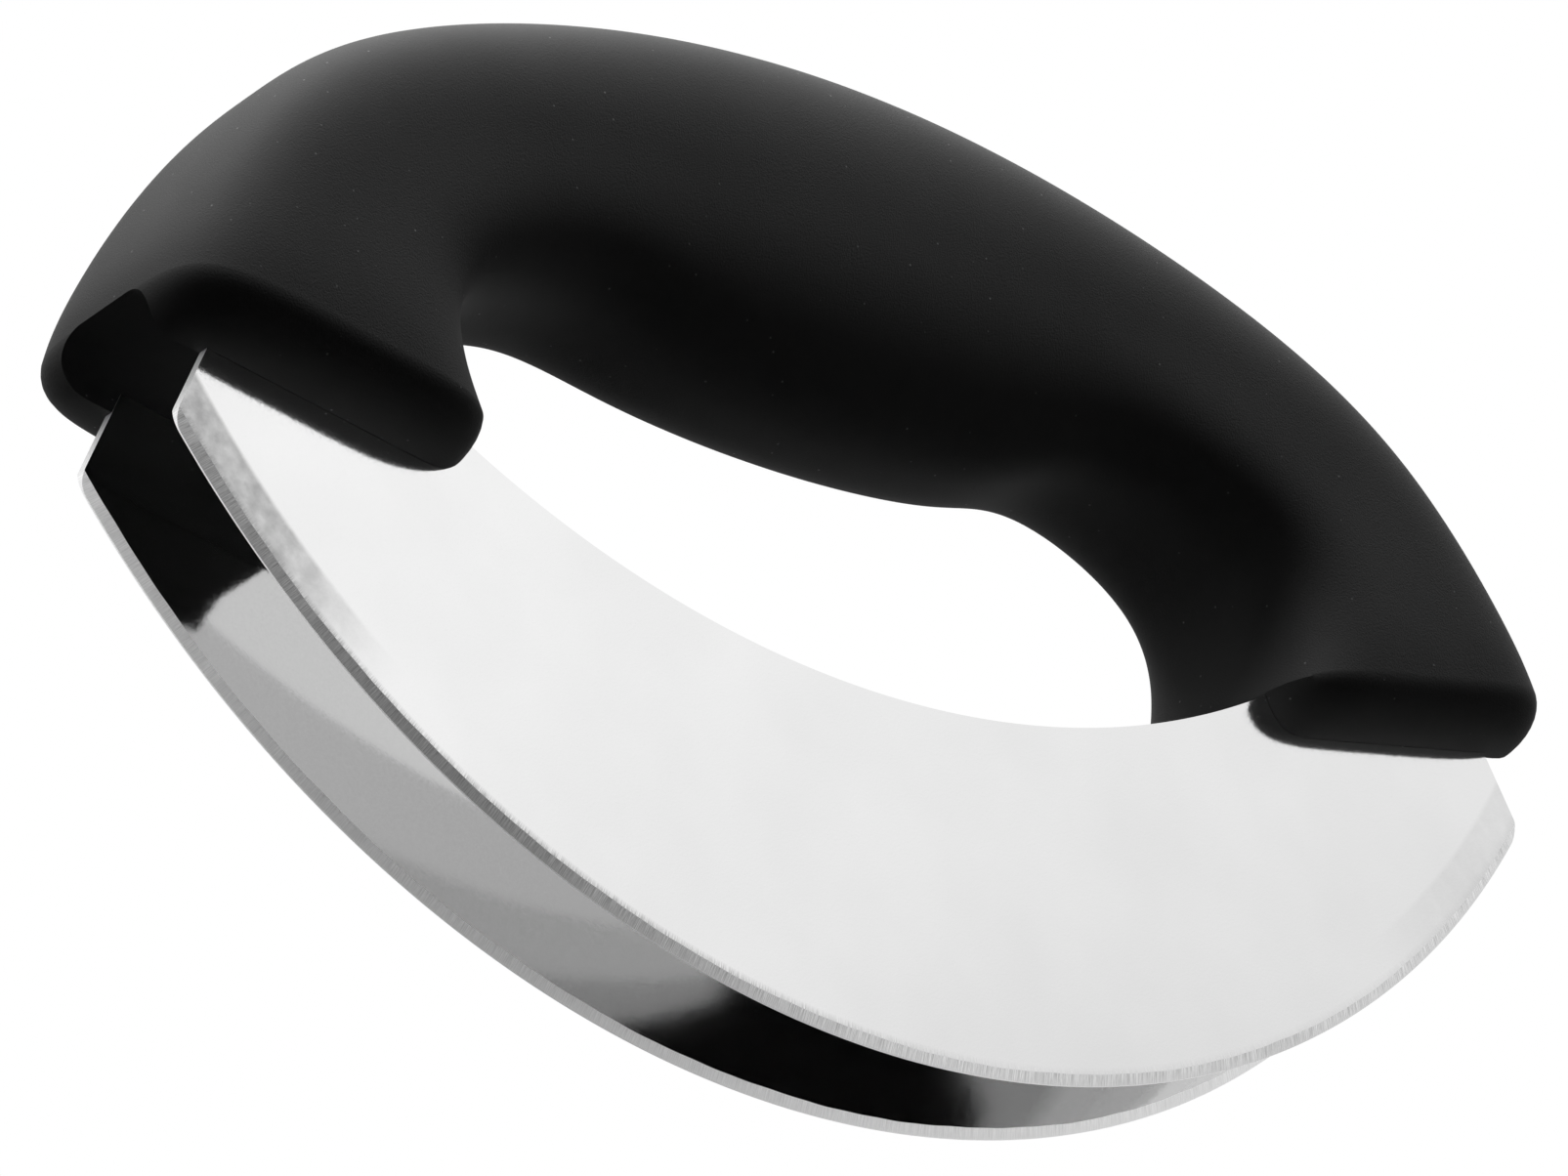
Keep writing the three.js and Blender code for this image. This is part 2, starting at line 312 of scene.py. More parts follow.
@dataclass(frozen=True)
class Finish:
    """A surface with an even grain between two tones. Other kinds draw a pattern of their own."""

    title: str
    base: str
    tone: str
    roughness: float
    roughness_spread: tuple[float, float] = (0.0, 0.0)
    grain_mm: float = 0.3
    grain_detail: float = 3.0
    grain_softness: float = 0.6
    grain_height_mm: float = 0.0
    bump_strength: float = 1.0
    metallic: float = 1.0
    ior: float | None = None
    specular: float = 0.5

    def surface(self, tree: Tree, place: Socket) -> dict[str, object]:
        """Draws the grain.

        Args:
            tree: The material's tree.
            place: Object coordinates.

        Returns:
            The shader's inputs.
        """
        grain = add_node(tree, "ShaderNodeTexNoise", {
            "Vector": place, "Scale": 1 / (self.grain_mm * MM), "Detail": self.grain_detail,
            "Roughness": self.grain_softness,
        })
        return self.shaded(tree, [(grain, self.tone)], grain)

    def shaded(self, tree: Tree, tones: list[tuple[Node, str]], height: Node) -> dict[str, object]:
        """Mixes tones over the base, and raises and roughens the surface by a height.

        Args:
            tree: The material's tree.
            tones: The share of each tone and its colour, one over the other.
            height: The pattern of the surface's relief.

        Returns:
            The shader's inputs.
        """
        colour = linear(self.base)
        for share, tone in tones:
            colour = add_node(tree, "ShaderNodeMix", {
                "Factor_Float": share, "A_Color": colour, "B_Color": linear(tone),
            }, data_type="RGBA")
        inputs = {"Base Color": colour, "Metallic": self.metallic, "Roughness": self.roughness}
        if self.ior:
            inputs["IOR"] = self.ior
            inputs["Specular IOR Level"] = self.specular
        if any(self.roughness_spread):
            low, high = NOISE_RANGE
            below, above = self.roughness_spread
            inputs["Roughness"] = add_node(tree, "ShaderNodeMapRange", {
                "Value": height, "From Min": low, "From Max": high,
                "To Min": self.roughness - below, "To Max": self.roughness + above,
            })
        if self.grain_height_mm > 0:
            inputs["Normal"] = add_node(tree, "ShaderNodeBump", {
                "Strength": self.bump_strength, "Distance": self.grain_height_mm * MM, "Height": height,
            })
        return inputs

    def material(self) -> Material:
        """Builds the finish's node material.

        Returns:
            The material.
        """
        material, tree = new_material(self.title)
        place = add_node(tree, "ShaderNodeTexCoord").outputs["Object"]
        shader = add_node(tree, "ShaderNodeBsdfPrincipled", self.surface(tree, place))
        add_node(tree, "ShaderNodeOutputMaterial", {"Surface": shader})
        return material


@dataclass(frozen=True)
class SoftTouchRubber(Finish):
    """Thermoplastic elastomer moulded over the core in a fine-eroded steel mould.

    The eroded mould leaves a dead matte black skin with a very fine grain, and the slightly tacky surface
    holds pale dust. Seen at a slant the grain catches the light and greys.
    """

    title: str = "soft_touch_rubber"
    base: str = "414141"
    tone: str = "9c9c9c"
    roughness: float = 0.7
    metallic: float = 0.0
    ior: float | None = 1.48
    specular: float = 0.08
    # The real grain is about 0.05 mm wide, too fine to show, so it is drawn coarser.
    grain_mm: float = 0.22
    grain_height_mm: float = 0.05
    cloud_mm: float = 20.0
    cloud_share: float = 0.05
    speck_apart_mm: float = 2.4
    speck_mm: float = 0.16

    def surface(self, tree: Tree, place: Socket) -> dict[str, object]:
        """Draws the grain, faint clouds and specks of dust.

        Args:
            tree: The material's tree.
            place: Object coordinates.

        Returns:
            The shader's inputs.
        """
        grain, cloud = [
            add_node(tree, "ShaderNodeTexNoise", {
                "Vector": place, "Scale": 1 / (size * MM), "Detail": detail, "Roughness": softness,
            })
            for size, detail, softness in ((self.grain_mm, 2.0, 0.6), (self.cloud_mm, 3.0, 0.55))
        ]
        # A speck shows where a cell's centre lies within speck_mm of the surface, so specks are sparse.
        cells = add_node(tree, "ShaderNodeTexVoronoi", {
            "Vector": place, "Scale": 1 / (self.speck_apart_mm * MM),
        })
        dusty, clouded = [
            add_node(tree, "ShaderNodeMapRange", {
                "Value": value, "From Min": start, "From Max": full, "To Max": share,
            })
            for value, start, full, share in (
                (cells, self.speck_mm / self.speck_apart_mm, 0.0, 1.0),
                (cloud, *NOISE_RANGE, self.cloud_share),
            )
        ]
        pale = add_node(tree, "ShaderNodeMath", {
            "Value": dusty, "Value_001": clouded,
        }, operation="ADD", use_clamp=True)
        return self.shaded(tree, [(pale, self.tone)], grain)


@dataclass(frozen=True)
class MouldedPolymer(Finish):
    """Black glass-filled nylon of the core, injection moulded. It is matte with a faint flow mottle."""

    title: str = "moulded_nylon_core"
    base: str = "262626"
    tone: str = "3a3a3a"
    roughness: float = 0.55
    metallic: float = 0.0
    ior: float | None = 1.53
    specular: float = 0.3
    grain_mm: float = 1.5
    grain_detail: float = 4.0
    grain_height_mm: float = 0.02
    bump_strength: float = 0.3


@dataclass(frozen=True)
class StoneCutSteel(Finish):
    """Steel at the cutting edge, where a stone run across the edge leaves short scratches square to it."""

    edge_radius: float = 108.9
    scratch_mm: float = 0.1
    scratch_length_mm: float = 2.5

    def edge_pattern(self, tree: Tree, place: Socket) -> tuple[Node, Node, Node]:
        """Measures a place from the edge, an arc whose lowest point is at z = 0, and scratches it.

        Args:
            tree: The material's tree.
            place: Object coordinates.

        Returns:
            The depth inwards from the edge, the angle along it from its lowest point towards +X, and
            noise stretched along the scratches.
        """
        parts = add_node(tree, "ShaderNodeSeparateXYZ", {"Vector": place}).outputs
        radius = self.edge_radius * MM
        drop = add_node(tree, "ShaderNodeMath", {
            "Value": radius, "Value_001": parts["Z"],
        }, operation="SUBTRACT")
        angle = add_node(tree, "ShaderNodeMath", {
            "Value": parts["X"], "Value_001": drop,
        }, operation="ARCTAN2")
        from_centre = add_node(tree, "ShaderNodeCombineXYZ", {"X": parts["X"], "Z": drop})
        reach = add_node(tree, "ShaderNodeVectorMath", {"Vector": from_centre}, operation="LENGTH")
        depth = add_node(tree, "ShaderNodeMath", {
            "Value": radius, "Value_001": reach,
        }, operation="SUBTRACT")
        along, across = [
            add_node(tree, "ShaderNodeMath", {
                "Value": value, "Value_001": scale,
            }, operation="MULTIPLY")
            for value, scale in (
                (angle, self.edge_radius / self.scratch_mm),
                (depth, 1 / (self.scratch_length_mm * MM)),
            )
        ]
        on_edge = add_node(tree, "ShaderNodeCombineXYZ", {"X": along, "Y": across})
        scratches = add_node(tree, "ShaderNodeTexNoise", {
            "Vector": on_edge, "Scale": 1.0, "Detail": 4.0, "Roughness": 0.7,
        })
        return depth, angle, scratches


@dataclass(frozen=True)
class SatinSteel(StoneCutSteel):
    """Stainless sheet with a fine satin grain, as on the outer faces of the blades.

    The grain is too fine to see. It spreads reflections into a nearly even silvery white, which keeps a
    sharp but grainy mirror image of only what nearly touches it. Towards its corners the sheet has been
    thinned with a softer wheel, which leaves a duller, mottled strip along the edge. The stone that ground
    the bevel has run out over the face a little, which blurs the border between them. That band is also
    painted reflection: it is drawn full towards the left end and faint towards the right, for the dark room
    in front that the bevel beside it mirrors.
    """

    title: str = "satin_stainless"
    base: str = "f4f4f4"
    tone: str = "e6e6e6"
    roughness: float = 0.08
    roughness_spread: tuple[float, float] = (0.04, 0.06)
    grain_height_mm: float = 0.003
    cloud_mm: float = 18.0
    cloud_range: tuple[float, float] = (0.35, 0.75)
    cloud_share: float = 0.4
    # The run-out's tone. Towards the left end it also serves as painted reflection of the dark room in
    # front.
    stone: str = "8c8c8c"
    stone_from_mm: float = 1.1
    stone_to_mm: float = 1.9
    painted_shade_sides: tuple[float, float] = (-0.35, 0.1)
    painted_shade_at_right: float = 0.2
    wheel: str = "a4a4a4"
    wheel_width_mm: float = 5.2
    wheel_fade_mm: float = 0.4
    wheel_from_deg: float = 37.0
    wheel_full_deg: float = 49.0
    wheel_sides: tuple[float, float] = (-0.2, 0.2)
    wheel_at_right: float = 0.2
    wheel_least: float = 0.55
    mottle_mm: float = 2.2

    def surface(self, tree: Tree, place: Socket) -> dict[str, object]:
        """Draws the satin with its clouds, the wheel's strips and the stone's run-out, which painted shade
        darkens towards the left end.

        Args:
            tree: The material's tree.
            place: Object coordinates.

        Returns:
            The shader's inputs.
        """
        grain, cloud, mottle = [
            add_node(tree, "ShaderNodeTexNoise", {
                "Vector": place, "Scale": 1 / (size * MM), "Detail": 3.0, "Roughness": softness,
            })
            for size, softness in ((self.grain_mm, 0.7), (self.cloud_mm, 0.5), (self.mottle_mm, 0.6))
        ]
        depth, angle, scratches = self.edge_pattern(tree, place)
        aside = add_node(tree, "ShaderNodeMath", {"Value": angle}, operation="ABSOLUTE")
        wheel_limits = [(self.wheel_width_mm + way * self.wheel_fade_mm) * MM for way in (1, -1)]
        wheel_angles = [math.radians(turn) for turn in (self.wheel_from_deg, self.wheel_full_deg)]
        clouded, in_strip, at_ends, wheel_side, patchy, run_out, painted_shade_side, scratched = [
            add_node(tree, "ShaderNodeMapRange", {
                "Value": value, "From Min": start, "From Max": full, "To Min": at_start, "To Max": at_full,
            }, interpolation_type=kind)
            for value, start, full, at_start, at_full, kind in (
                (cloud, *self.cloud_range, 0.0, self.cloud_share, "LINEAR"),
                (depth, *wheel_limits, 0.0, 1.0, "SMOOTHSTEP"),
                (aside, *wheel_angles, 0.0, 1.0, "SMOOTHSTEP"),
                (angle, *self.wheel_sides, 1.0, self.wheel_at_right, "LINEAR"),
                (mottle, *NOISE_RANGE, self.wheel_least, 1.0, "LINEAR"),
                (depth, self.stone_to_mm * MM, self.stone_from_mm * MM, 0.0, 1.0, "LINEAR"),
                # Painted reflection: the run-out is full towards the left end and faint towards the right.
                (angle, *self.painted_shade_sides, 1.0, self.painted_shade_at_right, "LINEAR"),
                (scratches, *SCRATCH_RANGE, 0.0, 1.0, "LINEAR"),
            )
        ]
        tones = [(clouded, self.tone)]
        for tone, (share, *others) in (
            (self.wheel, (in_strip, at_ends, wheel_side, patchy)),
            (self.stone, (run_out, painted_shade_side, scratched)),
        ):
            for other in others:
                share = add_node(tree, "ShaderNodeMath", {
                    "Value": share, "Value_001": other,
                }, operation="MULTIPLY")
            tones.append((share, tone))
        return self.shaded(tree, tones, grain)


@dataclass(frozen=True)
class PolishedSteel(Finish):
    """Stainless sheet with the mill's bright rolled finish, as on the blades' inner faces.

    It mirrors what stands near, softly, because the rolling leaves a faint grain.
    """

    title: str = "bright_rolled_stainless"
    base: str = "d8d8d8"
    tone: str = "e5e5e5"
    roughness: float = 0.05
    roughness_spread: tuple[float, float] = (0.03, 0.04)
    grain_softness: float = 0.7
    grain_height_mm: float = 0.0012


@dataclass(frozen=True)
class GroundSteel(StoneCutSteel):
    """Bevel ground on a stone across the edge, which leaves short scratches square to the edge.

    The scratches break the reflection into fine light and dark bars from the edge to the blade's face.
    """

    title: str = "ground_stainless"
    base: str = "aeaeae"
    tone: str = "f0f0f0"
    roughness: float = 0.28
    grain_height_mm: float = 0.01
    bump_strength: float = 0.3

    def surface(self, tree: Tree, place: Socket) -> dict[str, object]:
        """Draws the scratches.

        Args:
            tree: The material's tree.
            place: Object coordinates.

        Returns:
            The shader's inputs.
        """
        scratches = self.edge_pattern(tree, place)[-1]
        low, high = SCRATCH_RANGE
        bright = add_node(tree, "ShaderNodeMapRange", {
            "Value": scratches, "From Min": low, "From Max": high,
        })
        return self.shaded(tree, [(bright, self.tone)], scratches)


@dataclass(frozen=True)
class ShearedSteel(Finish):
    """Blanked edge of the sheet, deburred by tumbling. It is a bright, slightly grainy line."""

    title: str = "tumbled_sheared_stainless"
    base: str = "f0f0f0"
    tone: str = "cacaca"
    roughness: float = 0.6


@dataclass(frozen=True)
class DrawnRod(Finish):
    """Steel rod drawn through a die, as used for pins. Fine lines run along it."""

    title: str = "drawn_steel_rod"
    base: str = "85878a"
    tone: str = "b4b6b8"
    roughness: float = 0.35
    line_mm: float = 0.2
    line_length_mm: float = 20.0

    def surface(self, tree: Tree, place: Socket) -> dict[str, object]:
        """Draws the lines.

        Args:
            tree: The material's tree.
            place: Object coordinates.

        Returns:
            The shader's inputs.
        """
        across, along = 1 / (self.line_mm * MM), 1 / (self.line_length_mm * MM)
        drawn_out = add_node(tree, "ShaderNodeVectorMath", {
            "Vector": place, "Vector_001": (across, along, across),
        }, operation="MULTIPLY")
        lines = add_node(tree, "ShaderNodeTexNoise", {
            "Vector": drawn_out, "Scale": 1.0, "Detail": 2.0,
        })
        return self.shaded(tree, [(lines, self.tone)], lines)


# Sizes that the sub-assemblies share


@dataclass(frozen=True)
class Layout:
    """Driving sizes of the mezzaluna in millimetres, shared by blades, handle and pins."""

    blade_length: float = 180.0
    blade_thickness: float = 1.2
    blade_spacing: float = 15.8
    edge_sagitta: float = 47.6
    foot_overhang: float = 1.9
    foot_length: float = 38.5
    foot_width: float = 32.0
    tang_inner_inset: float = 6.5
    tang_outer_inset: float = 9.5
    tang_rise: float = 23.5
    pin_diameter: float = 4.0
    pin_rise: float = 17.4
    pin_inset: float = 6.0
    pin_recess: float = 1.0
    skin_thickness: float = 2.2
    seam: float = 0.06
    overrun: float = 2.0

    @property
    def half_blade(self) -> float:
        """Half the length between the blade's end corners."""
        return self.blade_length / 2

    @property
    def edge_radius(self) -> float:
        """Radius of the cutting edge."""
        return (self.half_blade ** 2 + self.edge_sagitta ** 2) / (2 * self.edge_sagitta)

    @property
    def corner_height(self) -> float:
        """Height of the blade's end corners above the board."""
        return self.edge_sagitta

    @property
    def half_handle(self) -> float:
        """Half the handle's length between its feet's outer ends."""
        return self.half_blade + self.foot_overhang

    @property
    def half_opening(self) -> float:
        """Half the hand opening."""
        return self.half_handle - self.foot_length

    @property
    def tang_inner(self) -> float:
        """Distance of a tang's inner side from the middle."""
        return self.half_opening + self.tang_inner_inset

    @property
    def tang_outer(self) -> float:
        """Distance of a tang's outer side from the middle."""
        return self.half_handle - self.tang_outer_inset

    @property
    def tang_top(self) -> float:
        """Height of the tangs."""
        return self.corner_height + self.tang_rise

    @property
    def pin_height(self) -> float:
        """Height of the pins' axes."""
        return self.corner_height + self.pin_rise

    @property
    def pin_places(self) -> list[float]:
        """Places of the four pins.

        Returns:
            Their distances along X from the middle, from left to right.
        """
        outer = self.tang_outer - self.pin_inset
        inner = self.tang_inner + self.pin_inset
        return [-outer, -inner, inner, outer]


def arc(centre: tuple[float, float], radius: float, start: float, end: float, count: int) -> np.ndarray:
    """Points on a circle, at angles counted from straight down towards +X.

    Args:
        centre: The circle's centre in X and Z.
        radius: Its radius.
        start: First angle in radians.
        end: Last angle in radians.
        count: Number of points, both ends included.

    Returns:
        Rows of x and z.
    """
    angles = np.linspace(start, end, count)
    return np.stack([centre[0] + radius * np.sin(angles), centre[1] - radius * np.cos(angles)], axis=1)


# Blades


@dataclass
class Blade:
    """One crescent blade with its two tangs, its ground edge and its four pin holes."""

    layout: Layout
    side: Side
    depth: float = 40.6
    back_sagitta: float = 14.0
    bevel_width: float = 1.1
    bevel_waviness: float = 0.07
    # Rate per millimetre, share and phase of the waves that the grinding leaves in the bevel's border.
    bevel_waves: tuple[tuple[float, float, float], ...] = ((0.21, 1, 0), (0.53, 0.7, 1.3), (1.27, 0.5, 0.4))
    edge_land: float = 0.2
    corner_radius: float = 3.0
    end_cut_rise: float = 8.5
    end_cut_run: float = 4.2
    tang_corner_radius: float = 3.0
    hole_clearance: float = 0.3
    edge_points: int = 260
    corner_points: int = 14
    back_points: int = 90
    hole_points: int = 40
    sharp_from_deg: float = 14.0

    @property
    def middle(self) -> float:
        """The blade's middle plane along Y."""
        return self.side.value * self.layout.blade_spacing / 2

    def half_outline(self, grow: float) -> np.ndarray:
        """The blade's right half from the lowest point of the edge round to the middle of the back.

        Args:
            grow: Distance by which the outline is moved outwards, for the slot round the blade.

        Returns:
            Rows of x and z in millimetres.
        """
        lay = self.layout
        edge_centre = np.array([0.0, lay.edge_radius])
        slant = np.array([-self.end_cut_run, self.end_cut_rise])
        slant = slant / np.linalg.norm(slant)
        outward = np.array([slant[1], -slant[0]])
        chord_end = np.array([lay.half_blade, lay.corner_height])

        on_inset = chord_end - outward * self.corner_radius
        to_inset = on_inset - edge_centre
        along = float(to_inset @ slant)
        reach = (lay.edge_radius - self.corner_radius) ** 2 - float(to_inset @ to_inset) + along ** 2
        corner_centre = on_inset + slant * (-along - math.sqrt(reach))
        from_centre = corner_centre - edge_centre
        edge_end = math.atan2(from_centre[0], -from_centre[1])
        corner_end = math.atan2(outward[0], -outward[1])

        edge = arc(tuple(edge_centre), lay.edge_radius + grow, 0, edge_end, self.edge_points)
        corner = arc(
            tuple(corner_centre), self.corner_radius + grow, edge_end, corner_end, self.corner_points)

        slant_start = chord_end + outward * grow
        right, left, top = lay.tang_outer + grow, lay.tang_inner - grow, lay.tang_top + grow
        at_tang = np.array([[right, slant_start[1] + slant[1] * (right - slant_start[0]) / slant[0]]])
        radius = self.tang_corner_radius
        outer_top = arc((right - radius, top - radius), radius, math.pi / 2, math.pi, self.corner_points)
        inner_top = arc((left + radius, top - radius), radius, math.pi, 1.5 * math.pi, self.corner_points)

        back_radius = (lay.half_opening ** 2 + self.back_sagitta ** 2) / (2 * self.back_sagitta)
        back_end = math.asin(left / (back_radius - grow))
        back = arc((0, self.depth + back_radius), back_radius - grow, back_end, 0, self.back_points)
        return np.concatenate([edge, corner[1:], at_tang, outer_top, inner_top, back])

    def outline(self, grow: float = 0.0) -> np.ndarray:
        """The whole closed outline, counter-clockwise seen from the near side."""
        half = self.half_outline(grow)
        return np.concatenate([half, half[1:-1][::-1] * [-1, 1]])

    def slot_tool(self) -> Piece:
        """Makes a body as thick as the blade with its seam, which cuts the blade's slot into the feet.

        Returns:
            The cutting body.
        """
        lay = self.layout
        loop = self.outline(lay.seam)
        half = lay.blade_thickness / 2 + lay.seam
        rings = [np.insert(loop, 1, self.middle + half * sign, axis=1) for sign in (-1, 1)]
        return object_from("slot_tool", loft("slot_tool", rings))

    def split_at_bevel(self) -> tuple[np.ndarray, np.ndarray]:
        """Splits the outline where the grinding starts and ends.

        Returns:
            The ground run along the edge, from its left end to its right, and the rest of the outline.
        """
        lay = self.layout
        limit = lay.edge_radius - self.bevel_width
        loop = self.outline()
        reach = np.hypot(loop[:, 0], loop[:, 1] - lay.edge_radius)
        whole = []
        crossings = []
        for k in range(len(loop)):
            after = (k + 1) % len(loop)
            whole.append(loop[k])
            low, high = reach[k] - limit, reach[after] - limit
            if low * high < 0:
                whole.append(loop[k] + (loop[after] - loop[k]) * low / (low - high))
                crossings.append((len(whole) - 1, low < 0))
        (last, _), (first, _) = sorted(crossings, key=lambda crossing: crossing[1])
        turned = np.roll(np.array(whole), -first, axis=0)
        ground = (last - first) % len(whole)
        return turned[:ground + 1], turned[ground + 1:]

    def build(self) -> Piece:
        """Builds the blade's closed mesh with one material slot for each zone.

        Returns:
            The blade's object at the origin.
        """
        lay = self.layout
        ground, rest = self.split_at_bevel()
        centre = np.array([0.0, lay.edge_radius])
        offset = ground - centre
        reach = np.linalg.norm(offset, axis=1)
        limit = lay.edge_radius - self.bevel_width
        along = np.arctan2(offset[:, 0], -offset[:, 1]) * lay.edge_radius
        waves = sum(share * np.sin(along * rate + phase) for rate, share, phase in self.bevel_waves)
        fade = np.clip((reach - limit) / self.bevel_width, 0, 1)
        inner_reach = limit + self.bevel_waviness * waves / 2 * fade
        inner = centre + offset / reach[:, None] * inner_reach[:, None]
        half = lay.blade_thickness / 2
        edge_half = half - (half - self.edge_land / 2) * fade

        holes = [
            arc((x, lay.pin_height), lay.pin_diameter / 2 + self.hole_clearance, 0, 2 * math.pi,
                self.hole_points + 1)[:-1]
            for x in lay.pin_places
        ]
        face_loop = np.concatenate([inner, rest])
        loops = [face_loop, *holes]
        flat = np.concatenate(loops)
        points: list[list[float]] = []
        faces: list[list[int]] = []
        zones: list[int] = []

        def add(new_faces: list[list[int]], zone: BladeZone) -> None:
            """Keeps faces with their zone."""
            faces.extend(new_faces)
            zones.extend([zone.value] * len(new_faces))

        triangles = tessellate_polygon([[Vector((x, z, 0)) for x, z in loop] for loop in loops])
        count = len(flat)
        for sign in (-1, 1):
            points += [[x, self.middle + sign * half, z] for x, z in flat]
            start = count if sign > 0 else 0
            zone = BladeZone.OUTER_FACE if sign == self.side.value else BladeZone.INNER_FACE
            add([[a + start, b + start, c + start] for a, b, c in triangles], zone)

        run = len(ground)
        edge_start = len(points)
        for sign in (-1, 1):
            points += [
                [x, self.middle + sign * y, z] for (x, z), y in zip(ground[1:-1], edge_half[1:-1])
            ]

        def face_vertex(k: int, sign: int) -> int:
            """Index of a face outline's point on one side."""
            return k + (count if sign > 0 else 0)

        def edge_vertex(k: int, sign: int) -> int:
            """Index of a ground edge's point on one side, where the run's ends belong to the face."""
            if k in (0, run - 1):
                return face_vertex(k, sign)
            return edge_start + k - 1 + (run - 2 if sign > 0 else 0)

        for k in range(run - 1):
            for sign in (-1, 1):
                corners = [face_vertex(k, sign), face_vertex(k + 1, sign),
                           edge_vertex(k + 1, sign), edge_vertex(k, sign)]
                zone = BladeZone.OUTER_BEVEL if sign == self.side.value else BladeZone.INNER_BEVEL
                add([list(dict.fromkeys(corners))], zone)
            add([[edge_vertex(k, -1), edge_vertex(k + 1, -1),
                  edge_vertex(k + 1, 1), edge_vertex(k, 1)]], BladeZone.INNER_BEVEL)

        # The walls that close the sheet between its faces: round the outline, apart from the ground run,
        # and round each hole.
        walls = [(k, (k + 1) % len(face_loop)) for k in range(run - 1, len(face_loop))]
        start = len(face_loop)
        for hole in holes:
            walls += [(start + k, start + (k + 1) % len(hole)) for k in range(len(hole))]
            start += len(hole)
        add([
            [face_vertex(here, -1), face_vertex(after, -1), face_vertex(after, 1), face_vertex(here, 1)]
            for here, after in walls
        ], BladeZone.SHEARED)

        name = f"{self.side.name.lower()}_crescent_blade"
        mesh = mesh_from(name, points, faces)
        for polygon, zone in zip(mesh.polygons, zones):
            polygon.material_index = zone
        tidy_mesh(mesh)
        smooth_by_angle(mesh, self.sharp_from_deg)
        return object_from(name, mesh)

    def dress(self, blade: Piece, finishes: dict[BladeZone, Material]) -> None:
        """Gives the blade its finishes and its place on the frame.

        Args:
            blade: The object from build.
            finishes: The material of each zone.
        """
        for zone in BladeZone:
            blade.data.materials.append(finishes[zone])
        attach(blade, BODY)
        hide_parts(f"{self.side.name.lower()}_blade")


# Handle


@dataclass(frozen=True)
class Station:
    """Guide of the arch's cross-section, as shares of the handle's sizes."""

    out_along: float
    out_up: float
    in_along: float
    in_up: float
    widening: float
    squareness: float


@dataclass(frozen=True)
class Fineness:
    """How finely the arch is drawn: rings to a foot's rounding, rings round it, and points of a ring."""

    steps: int
    rounding_steps: int
    points_round: int


